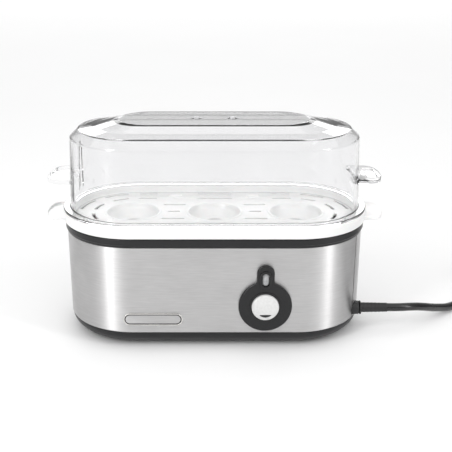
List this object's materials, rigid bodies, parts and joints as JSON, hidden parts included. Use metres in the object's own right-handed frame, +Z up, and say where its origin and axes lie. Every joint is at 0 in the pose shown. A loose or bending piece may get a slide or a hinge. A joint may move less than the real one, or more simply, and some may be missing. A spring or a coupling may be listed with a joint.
{
  "type": "egg cooker",
  "caption": "Electric egg cooker: long steel body on a black base with a front push button, a water pan, an egg tray with cups, a clear lift-off lid and a mains cord with its plug.",
  "frame": {"origin": "on the table under the middle of the whole outline, cord left out", "axes": "+X to the right along the body, -Y the front with the button, +Z up"},
  "size_m": [0.4407, 0.1704, 0.1598],
  "materials": {
    "black_plastic": "satin moulded black plastic",
    "gloss_black": "gloss black plastic",
    "brushed_steel": "horizontally brushed stainless steel",
    "pan_steel": "drawn stainless steel, satin",
    "white_plastic": "white satin plastic",
    "clear_plastic": "clear moulded plastic",
    "lamp_plastic": "clear lamp window",
    "rubber": "soft black rubber",
    "ceramic": "unglazed ceramic",
    "silver_metal": "bright plated metal",
    "cord_plastic": "black cord jacket",
    "wire_live": "brown insulation",
    "wire_neutral": "blue insulation",
    "wire_earth": "green and yellow insulation"
  },
  "bodies": {
    "housing": {"base_shell": "black_plastic", "steel_band": "brushed_steel", "top_ring": "black_plastic", "water_pan": "pan_steel", "heating_element": "pan_steel", "element_terminal_live": "silver_metal", "element_terminal_neutral": "silver_metal", "thermostat": "ceramic", "thermostat_clip": "pan_steel", "thermal_fuse": "silver_metal", "terminal_block": "ceramic", "switch_body": "black_plastic", "switch_bezel": "gloss_black", "button_spring": "silver_metal", "lamp_lens": "lamp_plastic", "pilot_lamp": "lamp_plastic", "badge_plate": "silver_metal", "cord_gland": "cord_plastic", "power_cord": "cord_plastic", "cord_coil": "cord_plastic", "cord_tie": "cord_plastic", "cord_tail": "cord_plastic", "plug_body": "cord_plastic", "plug_pin_1": "silver_metal", "plug_pin_2": "silver_metal", "wire_supply_live": "wire_live", "wire_supply_neutral": "wire_neutral", "wire_block_to_switch": "wire_live", "wire_switch_to_thermostat": "wire_live", "wire_thermostat_to_element": "wire_live", "wire_block_to_element": "wire_neutral", "wire_pan_earth": "wire_earth", "foot_1": "rubber", "base_screw_1": "silver_metal", "foot_2": "rubber", "base_screw_2": "silver_metal", "foot_3": "rubber", "base_screw_3": "silver_metal", "foot_4": "rubber", "base_screw_4": "silver_metal"},
    "button": {"push_button": "white_plastic"},
    "tray": {"egg_tray": "white_plastic"},
    "lid": {"lid": "clear_plastic"}
  },
  "joints": [
    {"name": "tray_lift", "type": "slide", "parent": "housing", "child": "tray", "axis": [0, 0, 1], "range_m": [0, 0.06]},
    {"name": "lid_lift", "type": "slide", "parent": "tray", "child": "lid", "axis": [0, 0, 1], "range_m": [0, 0.1]},
    {"name": "button_press", "type": "slide", "parent": "housing", "child": "button", "axis": [0, 1, 0], "range_m": [0, 0.0025], "stiffness_N_per_m": 600, "deforming": ["button_spring"]}
  ]
}
